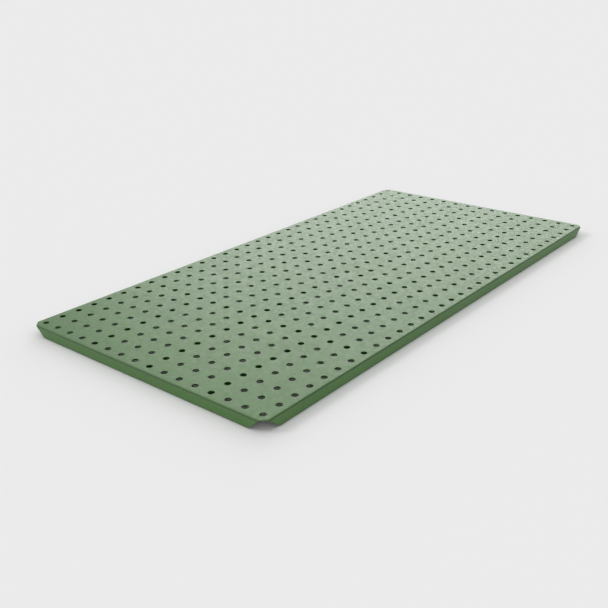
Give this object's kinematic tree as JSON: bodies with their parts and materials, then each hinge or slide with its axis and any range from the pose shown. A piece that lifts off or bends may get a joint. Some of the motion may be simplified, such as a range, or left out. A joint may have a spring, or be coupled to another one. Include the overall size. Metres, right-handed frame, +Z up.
{
  "type": "perforated welding table top",
  "caption": "Folded sheet-steel work top for a welding table, with a square grid of round clamp holes, down-turned skirts and welded U-channel stiffeners underneath.",
  "frame": {"origin": "centre of the footprint, on the plane that the return flanges rest on", "axes": "+X along the length, +Y across the width, +Z up, out of the work surface"},
  "size_m": [1.6, 0.8, 0.03],
  "materials": {
    "deck_paint": "satin sage-green powder coat",
    "stiffener_paint": "satin sage-green powder coat",
    "weld_paint": "satin sage-green powder coat over rippled weld metal"
  },
  "bodies": {
    "root": {"perforated_deck": "deck_paint", "long_channel_right": "stiffener_paint", "channel_stitch_welds_right": "weld_paint", "long_channel_centre": "stiffener_paint", "channel_stitch_welds_centre": "weld_paint", "long_channel_left": "stiffener_paint", "channel_stitch_welds_left": "weld_paint", "cross_rib_front_1": "stiffener_paint", "cross_rib_front_2": "stiffener_paint", "cross_rib_front_3": "stiffener_paint", "cross_rib_front_4": "stiffener_paint", "rib_stitch_welds_front": "weld_paint", "rib_corner_welds_front": "weld_paint", "cross_rib_middle_1": "stiffener_paint", "cross_rib_middle_2": "stiffener_paint", "cross_rib_middle_3": "stiffener_paint", "cross_rib_middle_4": "stiffener_paint", "rib_stitch_welds_middle": "weld_paint", "rib_corner_welds_middle": "weld_paint", "cross_rib_rear_1": "stiffener_paint", "cross_rib_rear_2": "stiffener_paint", "cross_rib_rear_3": "stiffener_paint", "cross_rib_rear_4": "stiffener_paint", "rib_stitch_welds_rear": "weld_paint", "rib_corner_welds_rear": "weld_paint"}
  },
  "joints": []
}
